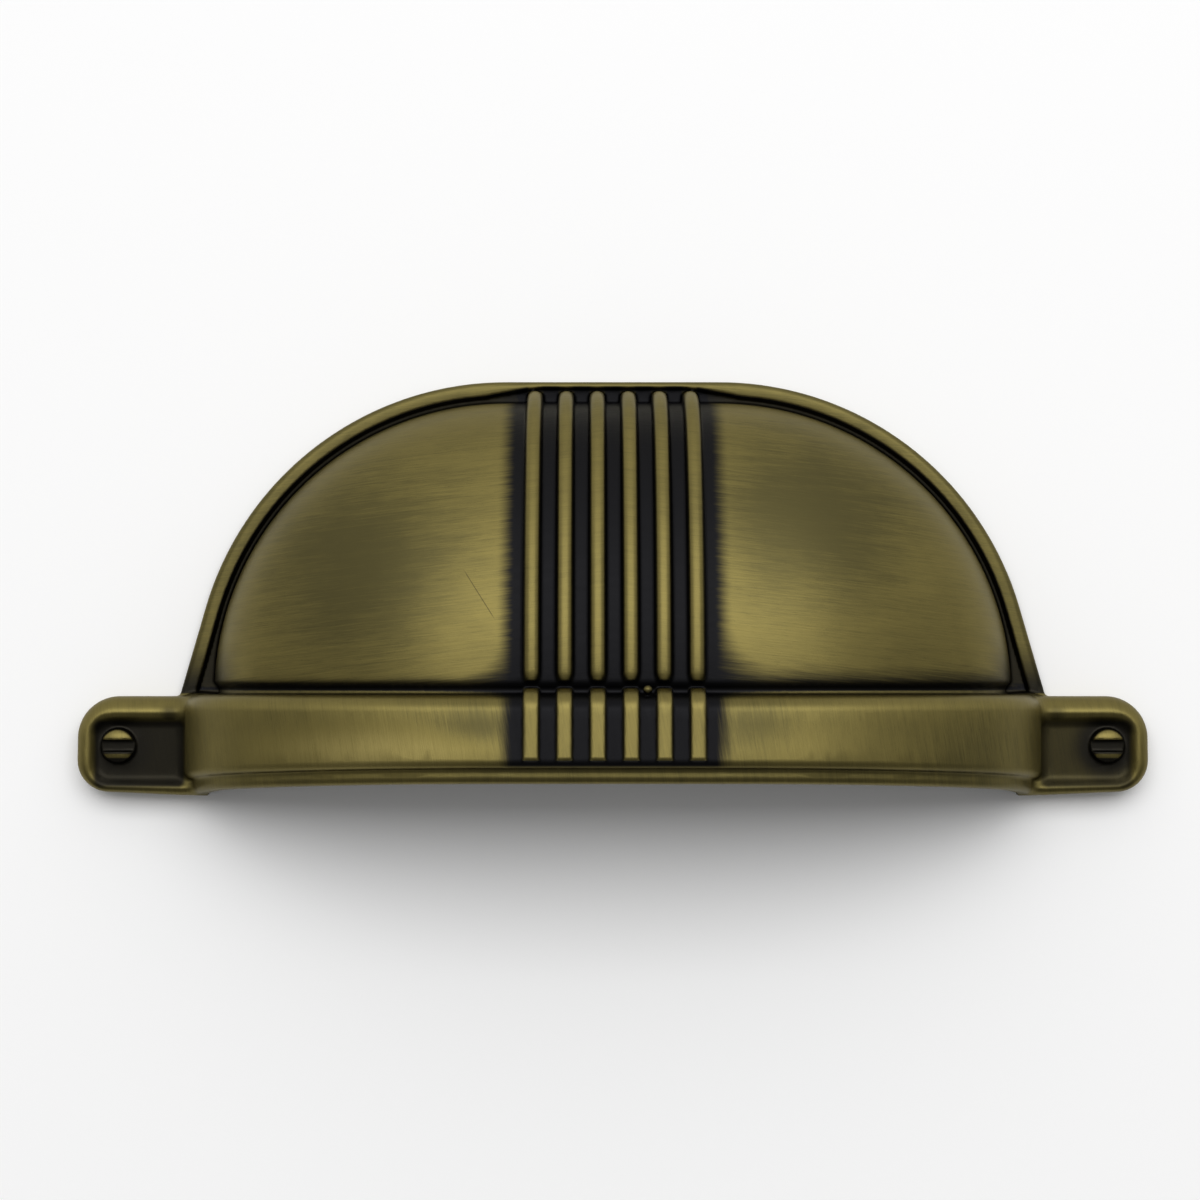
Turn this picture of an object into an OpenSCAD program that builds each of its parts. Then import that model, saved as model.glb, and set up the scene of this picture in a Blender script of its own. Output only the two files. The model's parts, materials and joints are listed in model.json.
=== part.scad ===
// Cup pull for a drawer front, one die casting with dummy screw heads on its two ears.
// Lies on its back: z = 0 is the drawer front, +Y is up the drawer, the finger opening looks to -Y.
// The origin is midway between the two rear screw holes. Millimetres.

/* [Cup] */
// Length from ear end to ear end
pull_length = 101.6; // [90:0.2:140]
// Radius of the half-round cup at the drawer front
cup_radius = 27.8; // [22:0.1:40]
// Half the straight length between the two half-round ends
cup_half_straight = 10.2; // [0:0.2:30]
// How far the cup stands out from the drawer front
cup_height = 18.6; // [15:0.1:27]
// Wall of the casting
wall = 2.2; // [1.6:0.1:3]

/* [Flange] */
// How far the flange stands out past the foot of the cup
flange_width = 2; // [1.8:0.1:4]
// Width of the raised band along the flange edge
flange_band_width = 1.5; // [1.2:0.1:1.8]
// Height of that band
flange_band_height = 1.6; // [1.2:0.1:3]
// Roundness of the outer edge of the band
flange_roll = 0.8; // [0.3:0.1:1]
// Thickness of the flange in the groove behind the band
flange_floor = 0.8; // [0.6:0.1:1]

/* [Strap] */
// How far the strap stands out past the cup
strap_proud = 2.8; // [1:0.1:5]
// How much rounder the strap is bowed than the cup, at its middle
strap_bow = 0.2; // [0.1:0.05:1]
// Roundness of the upper edge of the strap
strap_shoulder = 1.5; // [0.5:0.1:2.5]
// Distance from the strap's top down to where its face starts to flare
strap_flare_start = 4; // [2:0.5:6]
// Outward flare of the lower face, in mm for each mm
strap_flare = 0.1; // [0:0.02:0.3]
// Distance from the strap's top to the middle of the lower lip, at the drawer front
lip_drop = 8.9; // [7:0.1:12]
// Lean of the lower edge, which rises towards the front of the strap
lip_lean = 4.8; // [0:0.1:12]
// Width of the lower lip
lip_width = 1.3; // [0.8:0.1:2.5]
// How far the lip stands out past the cup
lip_proud = 1.95; // [1:0.05:3]
// Radius of the cove between the cup and the strap
cove_radius = 0.75; // [0.4:0.05:1.5]

/* [Reeds] */
// Number of reeds down the middle
reed_count = 6; // [2:1:8]
// Spacing of the reeds
reed_pitch = 2.94; // [2:0.02:4]
// Radius of a reed on the cup
reed_radius = 0.75; // [0.4:0.05:1.2]
// How much further out the reeds end at the flange
reed_spread = 0.4; // [0.1:0.05:0.6]
// Distance from the strap's top up to the lower ends of the reeds on the cup
reed_gap = 1.5; // [1.4:0.1:4]
// Width of a reed on the strap
strap_reed_width = 1.4; // [0.8:0.05:2]
// How far a reed stands out from the strap
strap_reed_proud = 0.6; // [0.3:0.05:1.2]
// Distance from the strap's top to the lower end of its reeds
strap_reed_end = 5.8; // [4:0.1:7]

/* [Ears] */
// Height of an ear over the drawer front
ear_height = 3.6; // [2.5:0.1:6]
// Top edge of an ear, below the strap's top
ear_top = 0.15; // [0.1:0.05:1]
// Lower edge of an ear, below the strap's top
ear_bottom = 9.55; // [7:0.05:12]
// Radius of the ear's corners
ear_corner = 3.9; // [2:0.1:4.5]
// Roundness of the ear's upper edge
ear_roll = 2; // [0.5:0.1:3]
// Depth of the pocket round the dummy screw
pocket_depth = 0.9; // [0.3:0.1:1.5]
// Border left above the pocket
pocket_border_top = 2.2; // [1:0.1:3]
// Border left below the pocket
pocket_border_bottom = 1.15; // [0.8:0.05:3]
// Border left at the end of the pocket
pocket_border_end = 1.6; // [1:0.1:3]
// Radius of the pocket's corners
pocket_corner = 1.6; // [1:0.1:2.6]

/* [Dummy screws] */
// Radius of the cast screw head
head_radius = 1.65; // [1:0.05:2.2]
// How far the domed head stands above the ear
head_proud = 0.3; // [0:0.05:1]
// Radius of the dome on the head
head_dome = 3.5; // [2:0.1:8]
// Distance from the ear's end to the middle of the head
head_inset = 4; // [3:0.1:6]
// Width of the slot
slot_width = 1.05; // [0.5:0.05:1.5]
// Depth of the slot
slot_depth = 0.8; // [0.3:0.1:1.5]

/* [Fixing] */
// Spacing of the two rear screw holes
screw_spacing = 64; // [50:1:96]
// Radius of a screw hole, as tapped for M4
screw_hole_radius = 1.65; // [1.2:0.05:2.2]
// Depth of a screw hole
screw_hole_depth = 8; // [5:0.5:8]
// Radius of the boss round a screw hole
boss_radius = 4; // [3:0.1:5]
// Chamfer at the mouth of a screw hole
screw_hole_chamfer = 0.4; // [0.2:0.1:0.8]

/* [Hidden] */
$fn = 96;
// Each oval is [radius at the drawer front, height], made of two arcs that meet on a 3-4-5 line
cup_oval = [cup_radius, cup_height];
strap_oval = [cup_radius, cup_height + strap_bow];
reed_oval = [cup_radius + reed_spread, cup_height];
crown_turn = atan2(3, 4);
// The flange edge leaves its arc at this angle above the strap, and runs on straight
flange_flare = atan2(7, 24);
haunch_turn = 90 - crown_turn;
function crown_z(o) = 2 * (o[1] - o[0]);
function crown_r(o) = 2 * o[0] - o[1];
function haunch_x(o) = 1.5 * (o[0] - o[1]);
function haunch_r(o) = 1.5 * o[1] - 0.5 * o[0];
// Everything runs on below the drawer front by this much and is trimmed there at the end
below = 1;
// How deep one shape reaches into the next
bite = 0.8;
far = 60;
flange_radius = cup_radius + flange_width;
flange_edge_roll = 0.3;
strap_cavity = strap_proud - wall;
strap_end = cup_half_straight + cup_radius + strap_proud;
ear_end = pull_length / 2;
ear_inner = strap_end - wall - bite;
pocket_floor = ear_height - pocket_depth;
head_x = ear_end - head_inset;
head_y = -(ear_top + ear_bottom) / 2;
head_top = ear_height + head_proud;
reed_places = [for (i = [0 : reed_count - 1]) (i - (reed_count - 1) / 2) * reed_pitch];

// A quarter of the oval o, grown by n, with side = 1 or -1 for its direction
module oval(o, n, side = 1) {
    k = 12;
    x = side * haunch_x(o);
    x_far = x + side * 3 * k;
    intersection() {
        translate([0, crown_z(o)]) circle(r = crown_r(o) + n);
        polygon([[0, -below], [x, -below], [x, 0], [x_far, 4 * k], [0, 4 * k]]);
    }
    intersection() {
        translate([x, 0]) circle(r = haunch_r(o) + n);
        polygon([[x, -below], [side * far, -below], [side * far, 4 * k], [x_far, 4 * k], [x, 0]]);
    }
}

// The same oval with both its ends and the straight between them
module long_oval(o, n) {
    translate([-cup_half_straight, -below]) square([2 * cup_half_straight, o[1] + n + below]);
    translate([cup_half_straight, 0]) oval(o, n);
    translate([-cup_half_straight, 0]) oval(o, n, -1);
}

// A thing on the right and its mirror image on the left
module both_sides() {
    children();
    mirror([1, 0, 0]) children();
}

// The rounded right end of the cup, filled, grown by n
module cup_end(n) {
    translate([cup_half_straight, 0, 0]) rotate_extrude(angle = 90) oval(cup_oval, n);
}

// The cup as a filled half dome, grown by n
module cup_solid(n) {
    translate([-cup_half_straight, 0, 0]) rotate([90, 0, 90])
        linear_extrude(2 * cup_half_straight) oval(cup_oval, n);
    both_sides() cup_end(n);
}

// Carries a section, x outwards from the strap's oval and y along Y, round the front.
// The two arcs run past the line where they meet, and are cut off there
module round_front() {
    o = strap_oval;
    spare = 10;
    translate([cup_half_straight, 0, o[1]]) rotate([0, -90, 0])
        linear_extrude(2 * cup_half_straight) children();
    both_sides() translate([cup_half_straight, 0, 0]) {
        difference() {
            translate([0, 0, crown_z(o)]) rotate([-90, 0, 0])
                rotate_extrude(start = -90, angle = crown_turn + spare) translate([crown_r(o), 0]) children();
            haunch_side(o);
        }
        intersection() {
            translate([haunch_x(o), 0, 0]) rotate([-90, 0, 0])
                rotate_extrude(start = -haunch_turn - spare, angle = haunch_turn + 2 * spare)
                translate([haunch_r(o), 0]) children();
            haunch_side(o);
        }
    }
}

// Everything on the haunch's side of the line where the two arcs of the oval o meet, x outwards
module haunch_side(o) {
    translate([haunch_x(o), 0, 0]) rotate([0, crown_turn, 0]) translate([0, -far, -far]) cube(2 * far);
}

// Carries a section, x outwards and y up, along the back edge of the cup
module round_back() {
    run = flange_radius * sin(flange_flare) / cos(flange_flare) + bite;
    translate([-cup_half_straight, 0, 0]) rotate([90, 0, 90]) linear_extrude(2 * cup_half_straight) children();
    both_sides() translate([cup_half_straight, 0, 0]) {
        difference() {
            rotate_extrude(angle = 90) children();
            rotate([0, 0, flange_flare]) translate([0, -far, -far / 2]) cube(far);
        }
        rotate([0, 0, flange_flare]) rotate([90, 0, 0]) linear_extrude(run) children();
    }
}

// A quarter disc at p, its corner at p and its arc towards x and y of the signs in s
module quarter(p, r, s) {
    translate(p) intersection() {
        circle(r = r);
        translate([s[0] > 0 ? 0 : -2 * r, s[1] > 0 ? 0 : -2 * r]) square(2 * r);
    }
}

// What a rounded corner takes off: the square past the arc, from p towards the signs in s
module corner_waste(p, r, s) {
    translate(p) difference() {
        translate([s[0] > 0 ? 0 : -2 * r, s[1] > 0 ? 0 : -2 * r]) square(2 * r);
        circle(r = r);
    }
}

module flange() {
    inner = cup_radius - wall - bite;
    groove_end = flange_radius - flange_band_width;
    round_back() difference() {
        translate([inner, -below]) square([flange_radius - inner, flange_band_height + below]);
        translate([inner - bite, flange_floor]) square([groove_end - inner + bite, far]);
        corner_waste([flange_radius - flange_roll, flange_band_height - flange_roll], flange_roll, [1, 1]);
        corner_waste([groove_end + flange_edge_roll, flange_band_height - flange_edge_roll],
            flange_edge_roll, [-1, 1]);
    }
}

// The reeds on the cup: half-round bars along their oval, from the flange to just above the strap
module cup_reeds() {
    o = reed_oval;
    spare = 10;
    short = asin(reed_gap / crown_r(o));
    rotate([0, 0, 90]) {
        difference() {
            for (y = reed_places) translate([0, y, crown_z(o)]) rotate([-90, 0, 0])
                rotate_extrude(start = -90 + short, angle = crown_turn - short + spare)
                translate([crown_r(o), 0]) circle(r = reed_radius);
            haunch_side(o);
        }
        intersection() {
            for (y = reed_places) translate([haunch_x(o), y, 0]) rotate([-90, 0, 0])
                rotate_extrude(start = -haunch_turn - spare, angle = haunch_turn + 2 * spare)
                translate([haunch_r(o), 0]) circle(r = reed_radius);
            haunch_side(o);
        }
    }
}

// The dark groove between the cup and the strap
module cove() {
    round_front() translate([cove_radius / 4, cove_radius / 2]) circle(r = cove_radius);
}

// The strap's section, grown by n
module strap_section(n) {
    arc_x = strap_proud - strap_shoulder;
    inner = -wall - bite;
    flare_y = -strap_flare_start;
    end_y = -lip_drop - 3;
    difference() {
        polygon([[inner, n], [strap_proud + n, n], [strap_proud + n, flare_y],
            [strap_proud + n + strap_flare * (flare_y - end_y), end_y], [inner, end_y]]);
        corner_waste([arc_x, -strap_shoulder], strap_shoulder + n, [1, 1]);
    }
}

// Places things on the leaning lower edge
module on_lip() {
    translate([0, -lip_drop, 0]) rotate([-lip_lean, 0, 0]) children();
}

module strap() {
    difference() {
        round_front() strap_section(0);
        on_lip() translate([-far, -far + lip_width / 2, -far]) cube([2 * far, far, 2 * far]);
    }
    on_lip() round_front() difference() {
        roll = lip_width / 2;
        inner = -wall - bite;
        translate([inner, -roll]) square([lip_proud - inner, lip_width + 0.3]);
        corner_waste([lip_proud - roll, 0], roll, [1, -1]);
    }
}

module strap_reeds() {
    for (x = reed_places) translate([x + strap_reed_width / 2, 0, strap_oval[1]])
        rotate([0, -90, 0]) linear_extrude(strap_reed_width) intersection() {
            strap_section(strap_reed_proud);
            translate([-wall / 2, -strap_reed_end]) square([far, far]);
        }
}

// An outline of an ear or its pocket: a bar from x0 to x1 with its two outer corners rounded
module ear_outline(x0, x1, y0, y1, r) {
    translate([x0, y0]) square([x1 - r - x0, y1 - y0]);
    translate([x1 - r, y0 + r]) square([r, y1 - y0 - 2 * r]);
    quarter([x1 - r, y1 - r], r, [1, 1]);
    quarter([x1 - r, y0 + r], r, [1, -1]);
}

// The rim of an ear: its section, x out to the rim and y up
module ear_rim() {
    translate([0, -below]) square([ear_corner, ear_height - ear_roll + below]);
    translate([0, ear_height - ear_roll]) square([ear_corner - ear_roll, ear_roll]);
    quarter([ear_corner - ear_roll, ear_height - ear_roll], ear_roll, [1, 1]);
}

module ear_slab() {
    x = ear_end - ear_corner;
    y0 = -ear_bottom + ear_corner;
    y1 = -ear_top - ear_corner;
    translate([x, y1, 0]) rotate_extrude(angle = 90) ear_rim();
    translate([x, y0, 0]) rotate([0, 0, -90]) rotate_extrude(angle = 90) ear_rim();
    translate([x, y1, 0]) rotate([90, 0, 0]) linear_extrude(y1 - y0) ear_rim();
    translate([ear_inner, y1, 0]) rotate([90, 0, 90]) linear_extrude(x - ear_inner) ear_rim();
    translate([x, y0, 0]) rotate([90, 0, -90]) linear_extrude(x - ear_inner) ear_rim();
    translate([ear_inner, y0, -below]) cube([x - ear_inner, y1 - y0, ear_height + below]);
}

// The right ear, with its pocket and its cast screw head
module ear() {
    difference() {
        ear_slab();
        translate([0, 0, pocket_floor]) linear_extrude(far)
            ear_outline(ear_inner - bite, ear_end - pocket_border_end, -ear_bottom + pocket_border_bottom,
                -ear_top - pocket_border_top, pocket_corner);
    }
    difference() {
        intersection() {
            translate([head_x, head_y, pocket_floor - bite]) cylinder(r = head_radius, h = far);
            translate([head_x, head_y, head_top - head_dome]) sphere(r = head_dome);
        }
        translate([head_x - far / 2, head_y - slot_width / 2, head_top - slot_depth])
            cube([far, slot_width, far]);
    }
}

// The hollow of the cup and of the strap, open below and at the back
module hollow() {
    cup_solid(-wall);
    rotate([90, 0, 0]) linear_extrude(wall) long_oval(cup_oval, -wall);
    translate([0, -wall, 0]) rotate([90, 0, 0]) linear_extrude(far) long_oval(strap_oval, strap_cavity);
}

module boss() {
    intersection() {
        translate([screw_spacing / 2, 0, -below]) cylinder(r = boss_radius, h = cup_height);
        cup_end(-wall / 3);
    }
    intersection() {
        translate([screw_spacing / 2, 0, -below]) cylinder(r = boss_radius, h = cup_height);
        rotate([90, 0, 0]) linear_extrude(2 * boss_radius) long_oval(strap_oval, strap_cavity + wall / 3);
    }
}

module screw_hole() {
    translate([screw_spacing / 2, 0, 0]) {
        translate([0, 0, -2 * below]) cylinder(r = screw_hole_radius, h = screw_hole_depth + 2 * below);
        translate([0, 0, -below]) cylinder(r1 = screw_hole_radius + screw_hole_chamfer + below,
            r2 = screw_hole_radius, h = screw_hole_chamfer + below);
    }
}

// The whole pull, one casting
module cup_pull() {
    color([0.52, 0.44, 0.24]) difference() {
        union() {
            difference() {
                union() {
                    difference() {
                        union() {
                            cup_solid(0);
                            cup_reeds();
                        }
                        cove();
                    }
                    flange();
                    strap();
                    strap_reeds();
                    both_sides() ear();
                }
                hollow();
            }
            both_sides() boss();
        }
        both_sides() screw_hole();
        translate([-far, -far, -2 * far]) cube(2 * far);
    }
}

cup_pull();
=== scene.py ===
"""Looks of an antiqued brass cup pull, made round its packed frame as one casting with soft edges."""
import json
import math

import bmesh
import bpy
import numpy as np
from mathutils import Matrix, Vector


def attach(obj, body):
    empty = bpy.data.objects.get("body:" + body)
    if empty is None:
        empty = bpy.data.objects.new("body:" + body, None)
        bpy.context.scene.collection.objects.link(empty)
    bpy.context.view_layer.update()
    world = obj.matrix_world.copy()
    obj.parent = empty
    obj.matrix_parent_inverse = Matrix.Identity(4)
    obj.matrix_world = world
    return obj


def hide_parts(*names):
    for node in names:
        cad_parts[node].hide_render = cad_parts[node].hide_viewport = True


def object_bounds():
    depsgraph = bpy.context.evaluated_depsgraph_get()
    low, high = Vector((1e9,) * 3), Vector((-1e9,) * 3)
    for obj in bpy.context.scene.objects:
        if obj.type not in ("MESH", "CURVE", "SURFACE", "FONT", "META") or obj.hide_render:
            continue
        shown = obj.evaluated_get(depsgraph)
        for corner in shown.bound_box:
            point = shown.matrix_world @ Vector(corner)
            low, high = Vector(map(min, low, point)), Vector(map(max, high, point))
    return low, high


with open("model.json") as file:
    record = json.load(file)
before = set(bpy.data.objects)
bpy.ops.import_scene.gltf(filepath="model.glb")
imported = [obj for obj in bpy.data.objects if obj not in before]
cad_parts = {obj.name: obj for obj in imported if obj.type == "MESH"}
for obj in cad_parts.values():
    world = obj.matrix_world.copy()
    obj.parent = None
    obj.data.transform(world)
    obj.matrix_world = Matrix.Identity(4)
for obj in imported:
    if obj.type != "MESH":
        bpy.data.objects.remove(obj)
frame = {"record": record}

import openvdb
from bpy.props import FloatProperty, FloatVectorProperty, IntProperty, PointerProperty

bl_info = {
    "name": "Cup Pull",
    "version": (1, 0, 0),
    "blender": (4, 5, 0),
    "location": "3D View > Sidebar > Cup Pull",
    "description": "Makes an antiqued brass cup pull round its packed frame",
    "category": "Object",
}

MM = 0.001
NODE = "cup_pull"
BODY = "root"
CAD_LOW, CAD_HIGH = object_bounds()
SCREW_SPACING = frame["record"]["mounts"][0]["dims"]["spacing_x_mm"] * MM
SCREW_HOLE = frame["record"]["mounts"][0]["dims"]["hole_r_mm"] * MM

# A length too short to see, over which a reed with a blunt end tapers
SHORT = 0.02 * MM
# The flange runs straight to the ears, at the slope of a triangle with sides of 7, 24 and 25
FLARE_SIN, FLARE_COS = 7 / 25, 24 / 25
# Where the flange's band starts to narrow above the reeds and where it is narrowest, past the cup's straight
BAND_FULL, BAND_NARROW = 2 * MM, -3 * MM
# Marks of the brush to a millimetre, across and along: coarse marks, fine marks and thin lines
BRUSH_MARKS = ((1.6, 0.1), (8.0, 0.3), (5.0, 0.16))
# The one thin scratch on the cup: its start and end, seen from the front, and half its width, in millimetres
SCRATCH_START, SCRATCH_END, SCRATCH_WIDTH = (-13.6, 11.4), (-10.5, 6.5), 0.06
# How far the floor reaches each way, how far aside the light stands, and the width of the camera's sensor
FLOOR_REACH, LIGHT_ASIDE, SENSOR_WIDTH = 3.0, 0.03, 36
# How far round the lower ends of the strap's reeds the mesh is kept fine
FINE_ENDS = 1.5 * MM


def length(name, description, default):
    """A size in metres that a user can change."""
    return FloatProperty(name=name, description=description, default=default, unit="LENGTH", precision=5)


def share(name, description, default):
    """A share from 0 to 1 that a user can change."""
    return FloatProperty(name=name, description=description, default=default, min=0, max=1, subtype="FACTOR")


def colour(name, description, default):
    """A colour that a user can change."""
    return FloatVectorProperty(name=name, description=description, default=default, size=3, subtype="COLOR")


class CupSizes(bpy.types.PropertyGroup):
    """Sizes of the cup, its flange and the screw bosses inside it."""
    radius: length("Radius", "Radius of the half-round cup at the drawer", 27.8 * MM)
    half_straight: length("Half straight", "Half the straight length between the round ends", 10.2 * MM)
    height: length("Height", "How far the cup stands out from the drawer", 18.6 * MM)
    wall: length("Wall", "Wall of the casting", 2.2 * MM)
    flange_floor: length("Flange floor", "Thickness of the flange in its groove", 0.8 * MM)
    band_width: length("Band width", "Width of the raised band along the flange edge", 1.5 * MM)
    band_height: length("Band height", "Height of that band", 1.6 * MM)
    band_thinning: length("Band thinning", "How much narrower the raised band is above the reeds", 0.85 * MM)
    band_roll: length("Band roll", "Roundness of the outer edge of that band", 0.6 * MM)
    boss: length("Boss", "Radius of a screw boss", 4 * MM)
    hole_depth: length("Hole depth", "Depth of a screw hole", 8 * MM)


class StrapSizes(bpy.types.PropertyGroup):
    """Sizes of the strap across the mouth of the cup, and of its lower lip."""
    proud: length("Proud", "How far the strap stands out past the cup", 2.8 * MM)
    bow: length("Bow", "How much rounder the strap is bowed than the cup", 0.2 * MM)
    shoulder: length("Shoulder", "Roundness of the upper edge", 1.5 * MM)
    lean: share("Lean", "Outward lean of the face, at its middle", 0.11)
    lean_about: length("Lean about", "Where the leaning face has its plain height, below the top", 5 * MM)
    lean_reach: length("Lean reach", "How far past the straight the lean fades away", 26 * MM)
    lip_drop: length("Lip drop", "Middle of the lip, below the top, at the drawer", 8.9 * MM)
    lip_lean: FloatProperty(name="Lip lean", description="Lean of the lower edge",
                            default=math.radians(4.8), subtype="ANGLE")
    lip_width: length("Lip width", "Width of the lower lip", 1.3 * MM)
    lip_proud: length("Lip proud", "How far the lip stands out past the cup", 1.95 * MM)
    foot_fuller: length("Fuller foot", "How much wider the lip is by its feet", 0.25 * MM)
    foot_height: length("Foot height", "Height over which the lip's feet are wider", 9 * MM)
    lower_edge: length("Lower edge", "Roundness of the face's lower edge, above the lip", 0.7 * MM)
    cove: length("Cove", "Radius of the groove between cup and strap", 0.75 * MM)


class ReedSizes(bpy.types.PropertyGroup):
    """Sizes of the reeds down the cup and over the strap."""
    count: IntProperty(name="Count", description="Number of reeds", default=6, min=1)
    pitch: length("Pitch", "Spacing of the reeds", 2.94 * MM)
    radius: length("Radius", "Half the width of a reed on the cup", 0.75 * MM)
    round_edge: length("Round edge", "Roundness of a reed's edges on the cup", 0.62 * MM)
    spread: length("Spread", "How much further out the reeds end at the flange", 0.4 * MM)
    gap: length("Gap", "Distance from the strap's top up to the lower ends on the cup", 0.9 * MM)
    taper: length("Taper", "Length over which a reed on the cup runs out at its lower end", 1.1 * MM)
    strap_width: length("Strap width", "Width of a reed on the strap", 1.4 * MM)
    strap_proud: length("Strap proud", "How far a reed stands out from the strap", 0.6 * MM)
    strap_end: length("Strap end", "Lower end of the strap's reeds, below the top", 5.8 * MM)
    nib: length("Nib", "Radius of the small casting nib between two reeds", 0.45 * MM)


class EarSizes(bpy.types.PropertyGroup):
    """Sizes of the ears, their pockets and the cast screw heads."""
    height: length("Height", "Height of an ear over the drawer", 3.6 * MM)
    top: length("Top", "Top edge of an ear, below the strap's top", 0.15 * MM)
    bottom: length("Bottom", "Lower edge of an ear, below the strap's top", 9.55 * MM)
    corner: length("Corner", "Radius of the ear's upper corner", 3.9 * MM)
    lower_corner: length("Lower corner", "Radius of the ear's lower corner", 2.9 * MM)
    roll: length("Roll", "Roundness of the ear's upper edge", 2 * MM)
    lower_roll: length("Lower roll", "Roundness of the ear's lower edge", 1.1 * MM)
    rise: share("Rise", "Rise of the lower edge towards the ear's end", 0.045)
    inner_rise: share("Inner rise", "Rise of the lower edge where it runs in under the lip", 0.065)
    soft: length("Soft edge", "Roundness of the pocket's edge", 0.8 * MM)
    pocket_depth: length("Pocket depth", "Depth of the pocket", 0.9 * MM)
    border_top: length("Border above", "Border left above the pocket", 2.2 * MM)
    border_bottom: length("Border below", "Border left below the pocket", 1.15 * MM)
    border_end: length("Border at the end", "Border left at the pocket's end", 1.6 * MM)
    pocket_corner: length("Pocket corner", "Radius of the pocket's corners", 1.6 * MM)
    head: length("Screw head", "Radius of the cast screw head", 1.65 * MM)
    head_proud: length("Head proud", "How far the head stands above the ear", 0.3 * MM)
    head_dome: length("Head dome", "Radius of the dome on the head", 3.5 * MM)
    head_inset: length("Head inset", "Middle of the head, from the ear's end", 4 * MM)
    slot_width: length("Slot width", "Width of the slot", 1.05 * MM)
    slot_depth: length("Slot depth", "Depth of the slot", 0.8 * MM)


class FinishSettings(bpy.types.PropertyGroup):
    """How fine the casting is made, and the colours of its finish."""
    grain: length("Grain", "Size of the cells that the casting is made in", 0.19 * MM)
    edge: length("Edge", "Roundness of small edges", 0.22 * MM)
    fillet: length("Fillet", "Roundness of inner corners", 0.3 * MM)
    triangles: IntProperty(name="Triangles", description="Triangles kept when the mesh is thinned",
                           default=80000)
    longest_edge: length("Longest edge", "Longest edge left in the mesh", 1.3 * MM)
    brass: colour("Brass", "Brushed brass on the high places", (0.180, 0.147, 0.047))
    # Dull brass is also the colour of painted shade, on the cup's dull patches and the lower edges, and worn
    # brass that of the painted highlights low on the strap
    dull_and_shaded_brass: colour("Dull brass", "Brass that is less rubbed", (0.082, 0.070, 0.027))
    worn_and_lit_brass: colour("Worn brass", "Brass that is rubbed most", (0.300, 0.245, 0.085))
    patina: colour("Patina", "Dark finish in the recesses", (0.010, 0.010, 0.011))


class StageSettings(bpy.types.PropertyGroup):
    """The floor, the light and the camera."""
    camera_height: length("Camera height", "Height of the camera over the floor", 255 * MM)
    camera_x: length("Camera X", "Place of the camera along X", -2.2 * MM)
    camera_y: length("Camera Y", "Place of the camera along Y", 0.43 * MM)
    view_width: length("View width", "Width of the view at the floor", 114.94 * MM)
    view_x: length("View X", "Middle of the view along X", -1.2 * MM)
    view_y: length("View Y", "Middle of the view along Y", 9.05 * MM)
    floor: colour("Floor", "Colour of the floor", (0.97, 0.97, 0.97))


# Soft patches painted brighter or darker than the rest: middle x and y, half width and half height
# in millimetres, and how much brighter they are. The two on the cup are painted shade on its outer upper
# parts, which shapes the highlight; the two low on the strap are painted highlights; the other three make
# parts of the strap duller.
SHEEN_AND_DULL_PATCHES = (
    (-23, 12, 15, 13, -0.75),
    (18, 16, 14, 12, -0.8),
    (-22, -5, 16, 3.5, 0.9),
    (16, -4.5, 9, 3, 0.3),
    (-12, -2.6, 6, 2.6, -0.6),
    (12, -3, 6, 4, -0.6),
    (33, -5, 8, 5, -0.3),
)

GROUPS = {
    "pull_cup": CupSizes,
    "pull_strap": StrapSizes,
    "pull_reeds": ReedSizes,
    "pull_ears": EarSizes,
    "pull_finish": FinishSettings,
    "pull_stage": StageSettings,
}


def join(a, b, r):
    """Two solids in one, with a fillet of radius r. Solids are signed distances, less than 0 inside."""
    return np.maximum(r, np.minimum(a, b)) - np.hypot(np.maximum(r - a, 0), np.maximum(r - b, 0))


def common(a, b, r):
    """What two solids share, with the edge where they meet rounded to radius r."""
    return np.minimum(-r, np.maximum(a, b)) + np.hypot(np.maximum(r + a, 0), np.maximum(r + b, 0))


def cut(a, b, r):
    """Solid a without solid b, with the edge rounded to radius r."""
    return common(a, -b, r)


def oval_arcs(radius, height):
    """An oval's two arcs, which meet on a 3-4-5 line: crown height and radius, haunch place and radius."""
    return 2 * (height - radius), 2 * radius - height, 1.5 * (radius - height), 1.5 * height - 0.5 * radius


def oval(across, up, radius, height):
    """Signed distance to an oval of that radius at the drawer and that height."""
    crown_up, crown_radius, haunch_across, haunch_radius = oval_arcs(radius, height)
    crown = np.hypot(across, up - crown_up) - crown_radius
    haunch = np.hypot(across - haunch_across, up) - haunch_radius
    return np.where(0.8 * (across - haunch_across) > 0.6 * up, haunch, crown)


def bar(u, v, half_u, half_v, corner):
    """Signed distance to a rectangle with rounded corners about the origin."""
    a = np.abs(u) - half_u + corner
    b = np.abs(v) - half_v + corner
    return np.minimum(np.maximum(a, b), 0) + np.hypot(np.maximum(a, 0), np.maximum(b, 0)) - corner


def strap_lean(strap, past_straight, y):
    """How far the strap's leaning face lies behind its plain height."""
    return strap.lean * np.clip(1 - past_straight / strap.lean_reach, 0, 1) * (y + strap.lean_about)


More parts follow.
